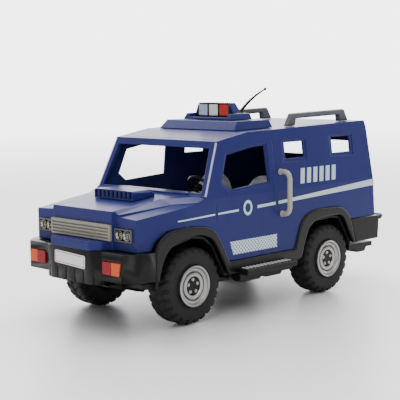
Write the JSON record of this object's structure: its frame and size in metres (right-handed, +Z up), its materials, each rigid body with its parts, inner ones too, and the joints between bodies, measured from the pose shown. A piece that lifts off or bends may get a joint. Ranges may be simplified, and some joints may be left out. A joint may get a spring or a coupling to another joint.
{
  "type": "toy van",
  "caption": "Toy off-road van with rolling wheels, a lift-off roof with a light bar and rails, a top-hinged tailgate, open windows and side grab handles.",
  "frame": {"origin": "on the ground under the middle of the overall box", "axes": "-Y is the driving direction, +X is the car's own left side, +Z is up"},
  "size_m": [0.155, 0.322, 0.1809],
  "materials": {
    "body_blue": "moulded blue plastic with a soft gloss",
    "silver": "silver plastic with a satin gloss",
    "plate_white": "off-white plastic",
    "lens_pale_blue": "pale blue plastic, polished",
    "lamp_red": "red plastic, polished",
    "lamp_orange": "orange plastic, polished",
    "dark_plastic": "dark grey plastic with a satin surface",
    "grey_plastic": "mid grey plastic",
    "seat_grey": "grey plastic",
    "tyre_rubber": "soft black plastic tread",
    "steel": "plain steel"
  },
  "bodies": {
    "chassis": {"body_shell": "body_blue", "hood_scoop": "body_blue", "grille": "silver", "headlight_left": "silver", "headlight_right": "silver", "number_plate": "plate_white", "red_lamp_left": "lamp_red", "red_lamp_right": "lamp_red", "orange_lamp_left": "lamp_orange", "orange_lamp_right": "lamp_orange", "front_bumper": "dark_plastic", "rear_bumper": "dark_plastic", "skid_plate": "dark_plastic", "rear_step": "dark_plastic", "side_cladding_left": "dark_plastic", "side_cladding_right": "dark_plastic", "running_board_left": "dark_plastic", "running_board_right": "dark_plastic", "grab_handle_left": "silver", "grab_handle_right": "silver", "chassis_pan": "dark_plastic", "front_axle_retainer": "dark_plastic", "rear_axle_retainer": "dark_plastic", "front_retainer_screw_left": "steel", "front_retainer_screw_right": "steel", "rear_retainer_screw_left": "steel", "rear_retainer_screw_right": "steel", "dashboard": "seat_grey", "seat_left": "seat_grey", "seat_right": "seat_grey", "tailgate_hinge_pin": "steel"},
    "front_axle": {"front_axle_rod": "steel", "front_rim_left": "silver", "front_rim_right": "silver", "front_tyre_left": "tyre_rubber", "front_tyre_right": "tyre_rubber"},
    "rear_axle": {"rear_axle_rod": "steel", "rear_rim_left": "silver", "rear_rim_right": "silver", "rear_tyre_left": "tyre_rubber", "rear_tyre_right": "tyre_rubber"},
    "steering": {"steering_wheel": "dark_plastic"},
    "roof": {"roof_panel": "body_blue", "roof_platform": "body_blue", "light_bar_base": "body_blue", "light_bar_housing": "body_blue", "lens_frame": "dark_plastic", "lens_blue": "lens_pale_blue", "lens_white": "plate_white", "lens_red": "lamp_red", "roof_rail_left": "grey_plastic", "roof_rail_right": "grey_plastic", "antenna": "dark_plastic"},
    "tailgate": {"tailgate": "body_blue"}
  },
  "joints": [
    {"name": "front_axle_spin", "type": "hinge", "parent": "chassis", "child": "front_axle", "pos_m": [0, -0.0896, 0.0305], "axis": [1, 0, 0], "continuous": true},
    {"name": "rear_axle_spin", "type": "hinge", "parent": "chassis", "child": "rear_axle", "pos_m": [0, 0.0765, 0.0305], "axis": [1, 0, 0], "continuous": true},
    {"name": "steering_wheel_spin", "type": "hinge", "parent": "chassis", "child": "steering", "pos_m": [0.024, -0.043, 0.101], "axis": [0, 0.8192, 0.5736], "continuous": true},
    {"name": "roof_lift", "type": "slide", "parent": "chassis", "child": "roof", "axis": [0, 0, 1], "range_m": [0, 0.06]},
    {"name": "tailgate_hinge", "type": "hinge", "parent": "chassis", "child": "tailgate", "pos_m": [0, 0.134, 0.1465], "axis": [1, 0, 0], "range_deg": [0, 95]}
  ]
}
